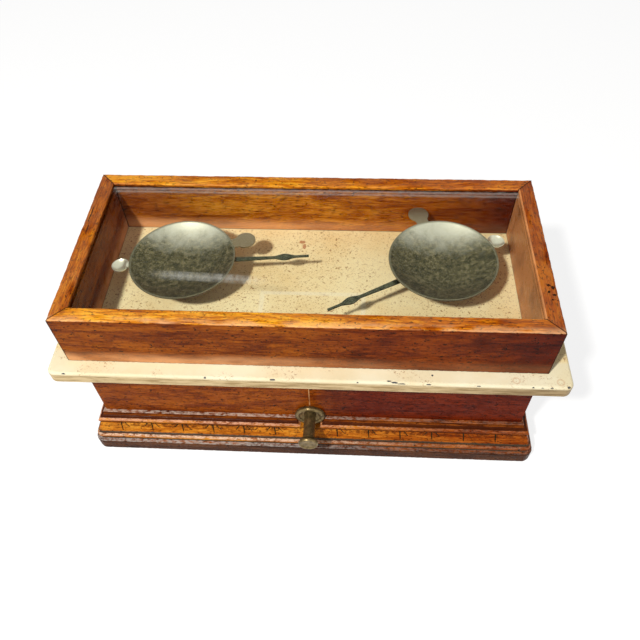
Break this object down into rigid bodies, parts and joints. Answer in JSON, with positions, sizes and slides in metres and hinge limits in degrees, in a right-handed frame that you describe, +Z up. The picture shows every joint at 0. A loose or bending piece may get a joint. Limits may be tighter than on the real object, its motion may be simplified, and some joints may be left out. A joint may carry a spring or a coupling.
{
  "type": "torsion prescription balance",
  "caption": "Low wooden counter balance with a glazed lift-off cover, two shallow metal pans, arrow pointers, a hidden torsion beam system and a front arrest knob.",
  "frame": {"origin": "middle of the underside, on the surface the case stands on", "axes": "+Z up, +X to the right along the case's length, -Y towards the front, where the arrest knob is"},
  "size_m": [0.381, 0.1951, 0.173],
  "materials": {
    "case_wood": "dark red-brown shellac, worn",
    "moulding_wood": "orange-brown shellac over carved softwood, dusty ledges",
    "inner_wood": "bare pine",
    "cream_paint": "cream paint with brown specks and dark chips along the edge",
    "cover_wood": "amber shellac over open-grained mahogany",
    "cover_glass": "old window glass, lightly scuffed",
    "pan_metal": "dull grey-green patina",
    "pointer_metal": "dark green-grey patina",
    "bright_brass": "lacquered brass",
    "black_iron": "black japan",
    "spring_steel": "blued steel",
    "screw_steel": "oiled steel",
    "knob_brass": "aged olive brass",
    "pad_leather": "leather",
    "inlay": "pale inlaid line"
  },
  "bodies": {
    "base": {"bottom_board": "inner_wood", "front_wall": "case_wood", "back_wall": "case_wood", "left_wall": "case_wood", "right_wall": "case_wood", "front_moulding": "moulding_wood", "back_moulding": "moulding_wood", "left_moulding": "moulding_wood", "right_moulding": "moulding_wood", "corner_blocks": "inner_wood", "board_cleats": "inner_wood", "cleat_screws": "screw_steel", "top_board": "cream_paint", "index_line": "inlay", "centre_truss": "black_iron", "centre_bands": "spring_steel", "centre_band_screws": "screw_steel", "truss_screws": "screw_steel", "base_plate": "black_iron", "base_plate_screws": "screw_steel", "stop_screws": "screw_steel", "knob_ring": "knob_brass", "front_bush": "bright_brass", "spindle_bracket": "black_iron", "bracket_screws": "screw_steel", "lifter_guides": "screw_steel"},
    "cover": {"cover_front_rail": "cover_wood", "cover_back_rail": "cover_wood", "cover_left_rail": "cover_wood", "cover_right_rail": "cover_wood", "cover_glass": "cover_glass"},
    "upper_beam": {"upper_beam": "bright_brass", "upper_clamps": "bright_brass", "upper_clamp_screws": "screw_steel", "poise_stem": "screw_steel"},
    "lower_beam": {"lower_beam": "bright_brass", "lower_clamps": "bright_brass", "lower_clamp_screws": "screw_steel"},
    "poise": {"poise_nut": "bright_brass"},
    "left_carrier": {"left_truss": "black_iron", "left_bands": "spring_steel", "left_band_screws": "screw_steel", "left_post": "bright_brass"},
    "right_carrier": {"right_truss": "black_iron", "right_bands": "spring_steel", "right_band_screws": "screw_steel", "right_post": "bright_brass"},
    "left_pointer": {"left_pointer": "pointer_metal"},
    "right_pointer": {"right_pointer": "pointer_metal"},
    "left_washer": {"left_pan_washer": "pad_leather"},
    "right_washer": {"right_pan_washer": "pad_leather"},
    "left_pan": {"left_pan": "pan_metal"},
    "right_pan": {"right_pan": "pan_metal"},
    "knob": {"arrest_knob": "knob_brass", "arrest_spindle": "screw_steel", "arrest_cam": "bright_brass"},
    "lifter": {"lifter_bar": "black_iron", "lifter_arms": "black_iron", "lifter_screws": "screw_steel", "lifter_pads": "pad_leather"}
  },
  "joints": [
    {"name": "cover_lift", "type": "slide", "parent": "base", "child": "cover", "axis": [0, 0, 1], "range_m": [0, 0.15]},
    {"name": "beam_tilt", "type": "hinge", "parent": "base", "child": "upper_beam", "pos_m": [0, 0, 0.086], "axis": [0, 1, 0], "range_deg": [-0.6, 3.4], "stiffness_Nm_per_rad": 0.3},
    {"name": "lower_beam_tilt", "type": "hinge", "parent": "base", "child": "lower_beam", "pos_m": [0, 0, 0.038], "axis": [0, 1, 0], "range_deg": [-0.6, 3.4]},
    {"name": "left_carrier_hang", "type": "hinge", "parent": "upper_beam", "child": "left_carrier", "pos_m": [-0.10047, 0, 0.08354], "axis": [0, 1, 0], "range_deg": [-3.4, 0.6]},
    {"name": "right_carrier_hang", "type": "hinge", "parent": "upper_beam", "child": "right_carrier", "pos_m": [0.10047, 0, 0.08846], "axis": [0, 1, 0], "range_deg": [-3.4, 0.6]},
    {"name": "left_pointer_swivel", "type": "hinge", "parent": "left_carrier", "child": "left_pointer", "pos_m": [-0.10047, 0, 0.1355], "axis": [0, 0, 1], "range_deg": [-40.5, 29.5]},
    {"name": "right_pointer_swivel", "type": "hinge", "parent": "right_carrier", "child": "right_pointer", "pos_m": [0.10047, 0, 0.1405], "axis": [0, 0, 1], "range_deg": [-64.5, 5.5]},
    {"name": "left_pan_turn", "type": "hinge", "parent": "left_carrier", "child": "left_washer", "pos_m": [-0.10047, 0, 0.136], "axis": [0, 0, 1], "continuous": true},
    {"name": "right_pan_turn", "type": "hinge", "parent": "right_carrier", "child": "right_washer", "pos_m": [0.10047, 0, 0.141], "axis": [0, 0, 1], "continuous": true},
    {"name": "left_pan_lift", "type": "slide", "parent": "left_washer", "child": "left_pan", "axis": [0, 0, 1], "range_m": [0, 0.008]},
    {"name": "right_pan_lift", "type": "slide", "parent": "right_washer", "child": "right_pan", "axis": [0, 0, 1], "range_m": [0, 0.008]},
    {"name": "poise_travel", "type": "slide", "parent": "upper_beam", "child": "poise", "axis": [-0.0244, 0, 0.9997], "range_m": [-0.004, 0.004]},
    {"name": "knob_turn", "type": "hinge", "parent": "base", "child": "knob", "pos_m": [0, -0.0742, 0.0467], "axis": [0, 1, 0], "range_deg": [0, 90]},
    {"name": "lifter_rise", "type": "slide", "parent": "base", "child": "lifter", "axis": [0, 0, 1], "range_m": [0, 0.0034]}
  ],
  "couplings": [
    {"joint": "lower_beam_tilt", "follows": "beam_tilt", "ratio": 1},
    {"joint": "left_carrier_hang", "follows": "beam_tilt", "ratio": -1},
    {"joint": "right_carrier_hang", "follows": "beam_tilt", "ratio": -1},
    {"joint": "knob_turn", "follows": "lifter_rise", "rad_per_m": 462}
  ]
}
